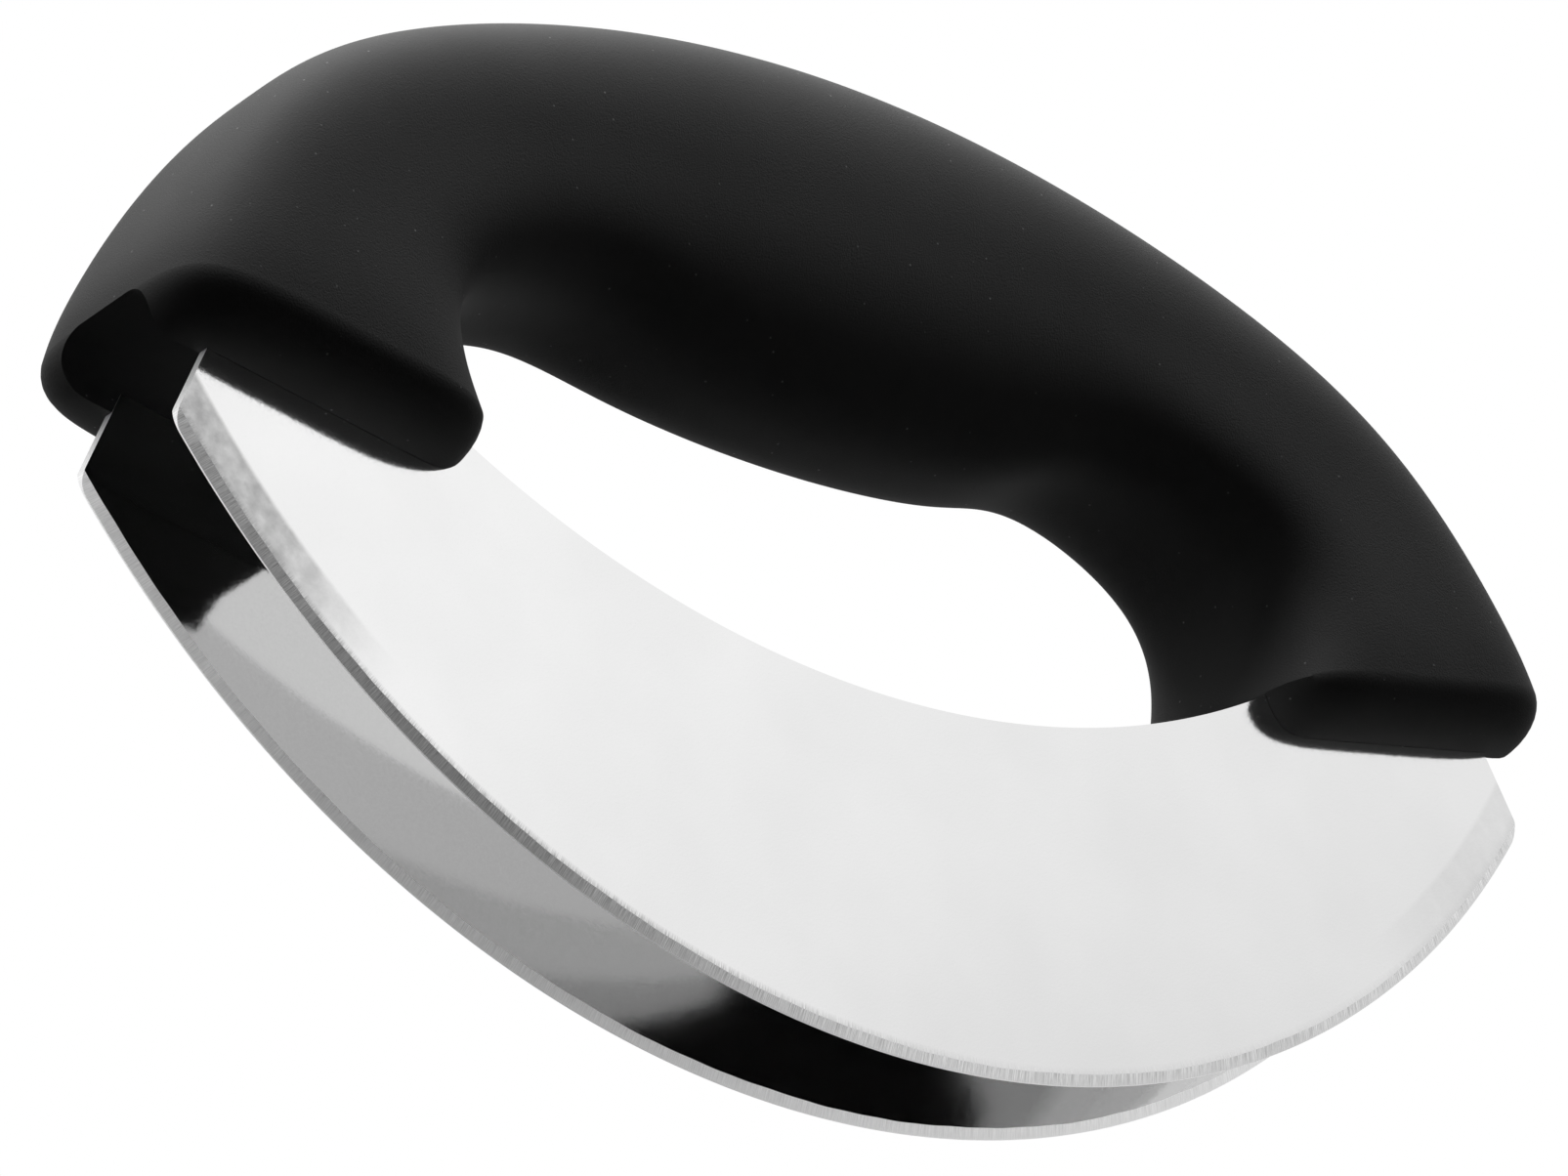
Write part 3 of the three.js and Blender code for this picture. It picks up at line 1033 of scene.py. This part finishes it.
@dataclass
class Handle:
    """The arched handle: a soft skin moulded over a stiff core, with a grooved foot at each end."""

    layout: Layout
    arch_rise: float = 69.3
    grip_underside_rise: float = 23.5
    foot_outer_lift: float = 14.8
    foot_inner_lift: float = 7.4
    grip_width: float = 26.0
    rounding_height: float = 5.0
    end_rounding: float = 3.2
    side_rounding: float = 7.0
    groove_depth: float = 5.4
    groove_corner_radius: float = 3.5
    groove_points: int = 12
    core_gap: float = 0.05
    merge_within: float = 0.004
    sharp_from_deg: float = 28.0
    skin_fineness: Fineness = Fineness(110, 10, 128)
    hollow_fineness: Fineness = Fineness(40, 4, 48)
    core_fineness: Fineness = Fineness(60, 6, 64)
    station_shares: tuple[Station, ...] = (
        Station(0, 1, 0, 1, 0.23, 2.5),
        Station(0.35, 0.93, 0.43, 1.125, 0, 2.6),
        Station(0.7, 0.71, 0.627, 1.51, 0.1, 3.0),
        Station(0.863, 0.451, 1.028, 1.1, 0.53, 3.8),
        Station(0.981, 0.108, 1.04, 0.397, 1, 4.2),
        Station(1, 0, 1, 0, 1, 4.8),
    )

    def guides(self) -> np.ndarray:
        """Works out the guide stations in millimetres.

        Returns:
            For each station the outer x and z, the inner x and z, the half width and the squareness.
        """
        lay = self.layout
        rows = []
        for share in self.station_shares:
            rows.append([
                share.out_along * lay.half_handle,
                lay.corner_height + self.foot_outer_lift
                + share.out_up * (self.arch_rise - self.foot_outer_lift),
                share.in_along * lay.half_opening,
                lay.corner_height + self.foot_inner_lift
                + share.in_up * (self.grip_underside_rise - self.foot_inner_lift),
                (self.grip_width + share.widening * (lay.foot_width - self.grip_width)) / 2,
                share.squareness,
            ])
        return np.array(rows)

    def station_at(self, t: float) -> np.ndarray:
        """Follows the uniform cubic B-spline that the guide stations draw.

        Args:
            t: The place on it, from 0 in the middle of the grip to 1 at the foot.

        Returns:
            The values of a guide station there.
        """
        rows = self.guides()
        mirrored = rows[1] * [-1, 1, -1, 1, 1, 1]
        past = 2 * rows[-1] - rows[-2]
        rows = np.concatenate([[mirrored], rows, [past]])
        last = len(rows) - 3
        index = min(int(t * last), last - 1)
        u = t * last - index
        weights = np.array([
            (1 - u) ** 3, 3 * u ** 3 - 6 * u ** 2 + 4, -3 * u ** 3 + 3 * u ** 2 + 3 * u + 1, u ** 3,
        ]) / 6
        return weights @ rows[index:index + 4]

    def foot_frame(self) -> tuple[np.ndarray, np.ndarray, np.ndarray, float]:
        """The right foot's underside.

        Returns:
            Its inner corner, the way outwards along it, the way up into the foot, and its length.
        """
        out_x, out_z, in_x, in_z = self.station_at(1)[:4]
        inner, outer = np.array([in_x, in_z]), np.array([out_x, out_z])
        length = float(np.linalg.norm(outer - inner))
        along = (outer - inner) / length
        up = np.array([-along[1], along[0]])
        return inner - up * self.rounding_height, along, up, length

    def rings(self, inset: float, fineness: Fineness) -> list[tuple[float, ...]]:
        """Cross-sections from the left foot over the grip to the right foot.

        Args:
            inset: Distance by which the surface is drawn in.
            fineness: How many rings there are.

        Returns:
            For each ring the middle's x and z, the reach's x and z, the half width and the squareness.
        """
        up = self.foot_frame()[2]
        last = fineness.rounding_steps
        plan = [(k / fineness.steps, 0.0) for k in range(fineness.steps + 1)]
        plan += [(1.0, math.pi / 2 * k / last) for k in range(1, last + 1)]
        height, end, side = (
            max(size - inset, 0) for size in (self.rounding_height, self.end_rounding, self.side_rounding)
        )
        half = []
        for t, turn in plan:
            out_x, out_z, in_x, in_z, half_width, squareness = self.station_at(t)
            drawn = 1 - math.cos(turn)
            middle = np.array([out_x + in_x, out_z + in_z]) / 2 - up * height * math.sin(turn)
            reach = np.array([out_x - in_x, out_z - in_z]) / 2
            size = np.linalg.norm(reach)
            reach = reach * (size - inset - end * drawn) / size
            half.append((*middle, *reach, half_width - inset - side * drawn, squareness))
        left = [(-mx, mz, -rx, rz, width, n) for mx, mz, rx, rz, width, n in half[:0:-1]]
        return left + half

    @staticmethod
    def skin_tree() -> Tree:
        """Geometry nodes that draw a superelliptic skin over a line of stations.

        Returns:
            A tree with inputs for the guide, the points round each ring and the finish.
        """
        tree = new_body_tree("arch_skin", {
            "Guide": "Geometry", "Points Round": "Int", "Finish": "Material",
        })
        given = add_node(tree, "NodeGroupInput").outputs
        rail = add_node(tree, "GeometryNodeMeshToCurve", {"Mesh": given["Guide"]})
        circle = add_node(tree, "GeometryNodeCurvePrimitiveCircle", {
            "Resolution": given["Points Round"], "Radius": 1.0,
        })
        turned = add_node(tree, "GeometryNodeInputPosition")
        marked = add_node(tree, "GeometryNodeStoreNamedAttribute", {
            "Geometry": circle, "Name": "round", "Value": turned,
        }, data_type="FLOAT_VECTOR", domain="POINT")
        swept = add_node(tree, "GeometryNodeCurveToMesh", {
            "Curve": rail, "Profile Curve": marked, "Fill Caps": True,
        })
        named = {
            name: add_node(tree, "GeometryNodeInputNamedAttribute", {
                "Name": name,
            }, data_type="FLOAT" if name == "power" else "FLOAT_VECTOR")
            for name in ("middle", "reach", "across", "power", "round")
        }
        cosine_sine = add_node(tree, "ShaderNodeSeparateXYZ", {"Vector": named["round"]}).outputs
        place = named["middle"]
        for way, part in (("reach", cosine_sine["X"]), ("across", cosine_sine["Y"])):
            size = add_node(tree, "ShaderNodeMath", {"Value": part}, operation="ABSOLUTE")
            bent = add_node(tree, "ShaderNodeMath", {
                "Value": size, "Value_001": named["power"],
            }, operation="POWER")
            sign = add_node(tree, "ShaderNodeMath", {"Value": part}, operation="SIGN")
            signed = add_node(tree, "ShaderNodeMath", {
                "Value": bent, "Value_001": sign,
            }, operation="MULTIPLY")
            moved = add_node(tree, "ShaderNodeVectorMath", {
                "Vector": named[way], "Scale": signed,
            }, operation="SCALE")
            place = add_node(tree, "ShaderNodeVectorMath", {
                "Vector": place, "Vector_001": moved,
            }, operation="ADD")
        drawn = add_node(tree, "GeometryNodeSetPosition", {"Geometry": swept, "Position": place})
        end_body_tree(tree, drawn, given["Finish"])
        return tree

    def arch(self, name: str, tree: Tree, finish: Material, inset: float, fineness: Fineness) -> Piece:
        """Builds the arch's closed body, drawn in by inset, with the geometry nodes.

        Args:
            name: The object's name.
            tree: The tree from skin_tree.
            finish: The material that the tree sets.
            inset: Distance of the surface inside the handle's outer one.
            fineness: How finely the body is drawn.

        Returns:
            The object with a plain mesh.
        """
        rings = self.rings(inset, fineness)
        middles = [(mx, 0, mz) for mx, mz, *_ in rings]
        mesh = mesh_from(name, middles, [], [(k, k + 1) for k in range(len(rings) - 1)])
        vectors = {
            "middle": middles,
            "reach": [(rx, 0, rz) for _, _, rx, rz, _, _ in rings],
            "across": [(0, width, 0) for *_, width, _ in rings],
        }
        for key, rows in vectors.items():
            stored = mesh.attributes.new(key, "FLOAT_VECTOR", "POINT")
            stored.data.foreach_set("vector", (np.array(rows, float) * MM).ravel())
        power = mesh.attributes.new("power", "FLOAT", "POINT")
        power.data.foreach_set("value", [2 / ring[-1] for ring in rings])
        body = run_tree(object_from(name, mesh), tree, {
            "Points Round": fineness.points_round, "Finish": finish,
        })
        for key in (*vectors, "power", "round"):
            stored = body.data.attributes.get(key)
            if stored:
                body.data.attributes.remove(stored)
        tidy_mesh(body.data)
        return body

    def channel(self, mirror: int, grow: float, rise: float) -> Piece:
        """A body that runs along one foot's underside, for its groove and for the skin that lines it.

        Args:
            mirror: 1 for the right foot and -1 for the left one.
            grow: How much wider than the groove the body is, on each side.
            rise: The body's top above the underside.

        Returns:
            The body.
        """
        lay = self.layout
        corner, along, up, length = self.foot_frame()
        radius = self.groove_corner_radius
        half = (lay.blade_spacing - lay.blade_thickness) / 2 + grow
        right = arc((half - radius, rise - radius), radius, math.pi / 2, math.pi, self.groove_points)
        profile = np.concatenate([
            [[-half, -lay.overrun], [half, -lay.overrun]], right, right[::-1] * [-1, 1],
        ])
        run = self.rounding_height + lay.overrun
        rings = []
        for distance in (-run, length + run):
            flat = corner + along * distance + profile[:, 1:2] * up
            rings.append([[mirror * x, y, z] for (x, z), y in zip(flat, profile[:, 0])])
        return object_from("channel", loft("channel", rings))

    def grooves(self) -> list[Piece]:
        """The grooves between the blades in both feet, as cutting bodies."""
        return [self.channel(mirror, 0, self.groove_depth) for mirror in (1, -1)]

    def linings(self, clearance: float) -> list[Piece]:
        """Makes the room round both grooves that the skin fills, as cutting bodies.

        Args:
            clearance: How far the bodies reach beyond the skin.

        Returns:
            The two bodies.
        """
        lay = self.layout
        wall = lay.skin_thickness + clearance
        return [
            self.channel(mirror, lay.blade_thickness + wall, self.groove_depth + wall) for mirror in (1, -1)
        ]

    def build_skin(self, blades: list[Blade], tree: Tree, finish: Material) -> Piece:
        """Builds the soft skin as a shell that also lines its grooves, with the blades' slots.

        Args:
            blades: The two blades, which give the slots.
            tree: The tree from skin_tree.
            finish: The skin's material.

        Returns:
            The skin's object.
        """
        skin = self.arch("soft_skin", tree, finish, 0.0, self.skin_fineness)
        hollow = self.arch("skin_hollow", tree, finish, self.layout.skin_thickness, self.hollow_fineness)
        cut_away(hollow, self.linings(0))
        cut_away(skin, [hollow, *self.grooves(), *(blade.slot_tool() for blade in blades)])
        tidy_mesh(skin.data, self.merge_within)
        smooth_by_angle(skin.data, self.sharp_from_deg)
        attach(skin, BODY)
        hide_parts("handle_skin")
        return skin

    def build_core(self, blades: list[Blade], tree: Tree, finish: Material) -> Piece:
        """Builds the stiff core, which clears the lined grooves, with the blades' slots and the pins' holes.

        Args:
            blades: The two blades, which give the slots.
            tree: The tree from skin_tree.
            finish: The core's material.

        Returns:
            The core's object.
        """
        lay = self.layout
        core = self.arch("stiff_core", tree, finish, lay.skin_thickness + self.core_gap, self.core_fineness)
        slots = [blade.slot_tool() for blade in blades]
        cut_away(core, [*self.linings(self.core_gap), *slots, *TangPins(lay).hole_tools()])
        tidy_mesh(core.data, self.merge_within)
        smooth_by_angle(core.data, self.sharp_from_deg)
        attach(core, BODY)
        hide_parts("handle_core")
        return core


# Pins


@dataclass
class TangPins:
    """The four steel pins that run across both tangs of each foot, inside the core."""

    layout: Layout
    chamfer: float = 0.4
    hole_clearance: float = 0.3
    hole_chamfer: float = 0.01
    facets: int = 48
    sharp_from_deg: float = 30.0

    def turned_body(self, name: str, radius: float, half_length: float, chamfer: float) -> Mesh:
        """A round bar along Y at the origin with chamfered ends.

        Args:
            name: The mesh's name.
            radius: The bar's radius.
            half_length: Half its length.
            chamfer: Width of its chamfers.

        Returns:
            The bar's mesh.
        """
        profile = [(radius - chamfer, -half_length), (radius, chamfer - half_length),
                   (radius, half_length - chamfer), (radius - chamfer, half_length)]
        angles = np.linspace(0, 2 * math.pi, self.facets, endpoint=False)
        mesh = loft(name, [[[r * math.cos(a), y, r * math.sin(a)] for a in angles] for r, y in profile])
        smooth_by_angle(mesh, self.sharp_from_deg)
        return mesh

    def hole_tools(self) -> list[Piece]:
        """Makes cutting bodies for the pins' holes, as long as the foot is wide.

        Returns:
            The four bodies.
        """
        lay = self.layout
        radius = lay.pin_diameter / 2 + self.hole_clearance
        tools = []
        for x in lay.pin_places:
            hole = self.turned_body("pin_hole_tool", radius, lay.foot_width / 2, self.hole_chamfer)
            hole.transform(Matrix.Translation((x * MM, 0, lay.pin_height * MM)))
            tools.append(object_from("pin_hole_tool", hole))
        return tools

    @staticmethod
    def places_tree() -> Tree:
        """Geometry nodes that set one pin on each point of a guide.

        Returns:
            A tree with inputs for the places, the pin and the finish.
        """
        tree = new_body_tree("pins_on_points", {
            "Places": "Geometry", "Pin": "Object", "Finish": "Material",
        })
        given = add_node(tree, "NodeGroupInput").outputs
        pin = add_node(tree, "GeometryNodeObjectInfo", {"Object": given["Pin"]})
        spread = add_node(tree, "GeometryNodeInstanceOnPoints", {
            "Points": given["Places"], "Instance": pin.outputs["Geometry"],
        })
        end_body_tree(tree, spread, given["Finish"])
        return tree

    def build(self, finish: Material) -> Piece:
        """Builds the four pins as one piece of separate solids.

        Args:
            finish: The pins' material.

        Returns:
            The pins' object.
        """
        lay = self.layout
        half_length = lay.foot_width / 2 - (lay.skin_thickness + self.hole_clearance + lay.pin_recess)
        pin = object_from("one_pin", self.turned_body(
            "one_pin", lay.pin_diameter / 2, half_length, self.chamfer))
        places = mesh_from("tang_pins", [(x, 0, lay.pin_height) for x in lay.pin_places], [])
        pins = run_tree(object_from("tang_pins", places), self.places_tree(), {
            "Pin": pin, "Finish": finish,
        })
        bpy.data.objects.remove(pin)
        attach(pins, BODY)
        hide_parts("left_outer_pin", "left_inner_pin", "right_inner_pin", "right_outer_pin")
        return pins


# Studio


@dataclass
class Studio:
    """Pale floor, white surroundings, a soft lamp and the camera at the photograph's place.

    Its sizes are in metres, apart from the lens and the sensor. A pair that names an edge or a fade gives
    where it starts and where it is full.
    """

    camera_place: tuple[float, float, float] = (-0.5677, -0.6394, -0.3722)
    camera_right: tuple[float, float, float] = (0.7708, -0.6338, -0.0651)
    camera_up: tuple[float, float, float] = (-0.2407, -0.3842, 0.8913)
    camera_clip: tuple[float, float] = (0.05, 50.0)
    lens_mm: float = 211.8
    sensor_mm: float = 36.0
    floor_size: float = 2.0
    floor_fade: tuple[float, float] = (0.75, 0.3)
    floor_drop: float = 0.0002
    floor_colour: str = "eeeeee"
    back_fill: float = 0.6
    back_fill_full: float = 0.9
    fill_edge: tuple[float, float] = (-0.1, 0.3)
    flag_level: float = 0.16
    flag_sides: tuple[tuple[str, float, float], ...] = (
        ("X", 0.2, 0.66),
        ("X", 0.0, -0.4),
        ("Y", 0.2, 0.7),
        ("Z", 0.1, 0.4),
    )
    table_edge: tuple[float, float] = (-0.7, -0.45)
    grey_card: tuple[float, float, float] = (0.736, -0.663, 0.139)
    grey_card_level: float = 0.6
    grey_card_reach_deg: float = 22.0
    lamp_height: float = 1.27
    lamp_size: float = 1.4
    lamp_watts: float = 28.5

    def camera(self) -> None:
        """Sets the camera."""
        data = bpy.data.cameras.new("camera")
        data.lens = self.lens_mm
        data.sensor_width = self.sensor_mm
        data.sensor_fit = "HORIZONTAL"
        data.clip_start, data.clip_end = self.camera_clip
        right, up = Vector(self.camera_right), Vector(self.camera_up)
        turn = Matrix((right, up, right.cross(up))).transposed().to_4x4()
        camera = bpy.data.objects.new("camera", data)
        camera.matrix_world = Matrix.Translation(self.camera_place) @ turn
        bpy.context.scene.collection.objects.link(camera)
        bpy.context.scene.camera = camera

    def floor_material(self) -> Material:
        """Pale floor that fades into the white room and gives no bounce light.

        It is clear from below, where the camera stands.

        Returns:
            The material.
        """
        material, tree = new_material("pale_floor")
        path = add_node(tree, "ShaderNodeLightPath").outputs
        back = add_node(tree, "ShaderNodeNewGeometry").outputs["Backfacing"]
        place = add_node(tree, "ShaderNodeTexCoord").outputs["Object"]
        away = add_node(tree, "ShaderNodeVectorMath", {"Vector": place}, operation="LENGTH")
        near = add_node(tree, "ShaderNodeMapRange", {
            "Value": away, "From Min": self.floor_fade[0], "From Max": self.floor_fade[1],
        }, interpolation_type="SMOOTHSTEP")
        seen = add_node(tree, "ShaderNodeMath", {
            "Value": path["Is Camera Ray"], "Value_001": back,
        }, operation="SUBTRACT", use_clamp=True)
        shown = add_node(tree, "ShaderNodeMath", {
            "Value": seen, "Value_001": near,
        }, operation="MULTIPLY")
        clear = add_node(tree, "ShaderNodeBsdfTransparent")
        paint = add_node(tree, "ShaderNodeBsdfDiffuse", {"Color": linear(self.floor_colour)})
        surface = add_node(tree, "ShaderNodeMixShader", {
            "Fac": shown, "Shader": clear, "Shader_001": paint,
        })
        add_node(tree, "ShaderNodeOutputMaterial", {"Surface": surface})
        return material

    def floor(self) -> None:
        """Lays the floor under the cutting edges."""
        half = self.floor_size / 2 / MM
        drop = -self.floor_drop / MM
        mesh = mesh_from("floor", [
            (-half, -half, drop), (half, -half, drop), (half, half, drop), (-half, half, drop),
        ], [[0, 1, 2, 3]])
        mesh.materials.append(self.floor_material())
        object_from("floor", mesh)

    def surroundings(self) -> None:
        """White to the camera, white with a black flag in reflections, and a dim fill from behind.

        The steel mirrors white from its sides, behind and above. A flag straight in front and a dark table
        below keep the black skin and the left half of the near blade's bevel dark, as in the photograph.
        """
        world = bpy.data.worlds.new("white_room")
        world.use_nodes = True
        tree = world.node_tree
        tree.nodes.clear()
        path = add_node(tree, "ShaderNodeLightPath").outputs
        way = add_node(tree, "ShaderNodeTexCoord").outputs["Generated"]
        parts = add_node(tree, "ShaderNodeSeparateXYZ", {"Vector": way}).outputs
        # Each limit rises smoothly from 0 to 1 between two values of a direction's part along an axis.
        beside_flag, *other_sides, over_table, over_fill_edge = [
            add_node(tree, "ShaderNodeMapRange", {
                "Value": parts[axis], "From Min": start, "From Max": full,
            }, interpolation_type="SMOOTHSTEP")
            for axis, start, full in (*self.flag_sides, ("Z", *self.table_edge), ("Z", *self.fill_edge))
        ]
        for side in other_sides:
            beside_flag = add_node(tree, "ShaderNodeMath", {
                "Value": beside_flag, "Value_001": side,
            }, operation="MAXIMUM")
        open_part = add_node(tree, "ShaderNodeMath", {
            "Value": beside_flag, "Value_001": over_table,
        }, operation="MULTIPLY")
        flagged = add_node(tree, "ShaderNodeMapRange", {"Value": open_part, "To Min": self.flag_level})
        towards = add_node(tree, "ShaderNodeVectorMath", {
            "Vector": way, "Vector_001": self.grey_card,
        }, operation="DOT_PRODUCT")
        card = add_node(tree, "ShaderNodeMapRange", {
            "Value": towards, "From Min": math.cos(math.radians(self.grey_card_reach_deg)),
            "From Max": 1.0, "To Min": 1.0, "To Max": self.grey_card_level,
        }, interpolation_type="SMOOTHSTEP")
        mirrored = add_node(tree, "ShaderNodeMath", {
            "Value": flagged, "Value_001": card,
        }, operation="MULTIPLY")
        behind = add_node(tree, "ShaderNodeMapRange", {
            "Value": parts["Y"], "From Max": self.back_fill_full, "To Max": self.back_fill,
        })
        fill = add_node(tree, "ShaderNodeMath", {
            "Value": behind, "Value_001": over_fill_edge,
        }, operation="MULTIPLY")
        unseen = add_node(tree, "ShaderNodeMix", {
            "Factor_Float": path["Is Glossy Ray"], "A_Float": fill, "B_Float": mirrored,
        }, data_type="FLOAT")
        shown = add_node(tree, "ShaderNodeMath", {
            "Value": path["Is Camera Ray"], "Value_001": path["Is Transmission Ray"],
        }, operation="MAXIMUM")
        strength = add_node(tree, "ShaderNodeMath", {
            "Value": unseen, "Value_001": shown,
        }, operation="MAXIMUM")
        background = add_node(tree, "ShaderNodeBackground", {
            "Color": (1.0, 1.0, 1.0, 1.0), "Strength": strength,
        })
        add_node(tree, "ShaderNodeOutputWorld", {"Surface": background})
        bpy.context.scene.world = world

    def lamp(self) -> None:
        """Hangs a round soft lamp above the object. A lamp shines straight down unless it is turned."""
        data = bpy.data.lights.new("top_softbox", "AREA")
        data.shape = "DISK"
        data.size = self.lamp_size
        data.energy = self.lamp_watts
        lamp = bpy.data.objects.new("top_softbox", data)
        lamp.location = (0, 0, self.lamp_height)
        bpy.context.scene.collection.objects.link(lamp)

    def build(self) -> None:
        """Sets up the whole studio."""
        self.camera()
        self.floor()
        self.surroundings()
        self.lamp()
        bpy.context.scene.view_settings.view_transform = "Standard"


def report(piece: Piece) -> None:
    """Logs a finished piece."""
    log.info("%s: %d faces", piece.name, len(piece.data.polygons))


def main() -> None:
    """Builds every piece of the object and the studio round it."""
    logging.basicConfig(level=logging.INFO, format="%(name)s %(message)s")
    layout = Layout()
    radius = layout.edge_radius
    deburred = GroundSteel("deburred_stainless", "e2e2e2", "ffffff", roughness=0.5, edge_radius=radius)
    finishes = {
        BladeZone.OUTER_FACE: SatinSteel(edge_radius=radius).material(),
        BladeZone.INNER_FACE: PolishedSteel().material(),
        BladeZone.OUTER_BEVEL: GroundSteel(edge_radius=radius).material(),
        BladeZone.INNER_BEVEL: deburred.material(),
        BladeZone.SHEARED: ShearedSteel().material(),
    }
    blades = [Blade(layout, side) for side in Side]
    for blade in blades:
        piece = blade.build()
        blade.dress(piece, finishes)
        report(piece)

    handle = Handle(layout)
    tree = handle.skin_tree()
    report(handle.build_skin(blades, tree, SoftTouchRubber().material()))
    report(handle.build_core(blades, tree, MouldedPolymer().material()))
    report(TangPins(layout).build(DrawnRod().material()))
    Studio().build()


if __name__ == "__main__":
    main()
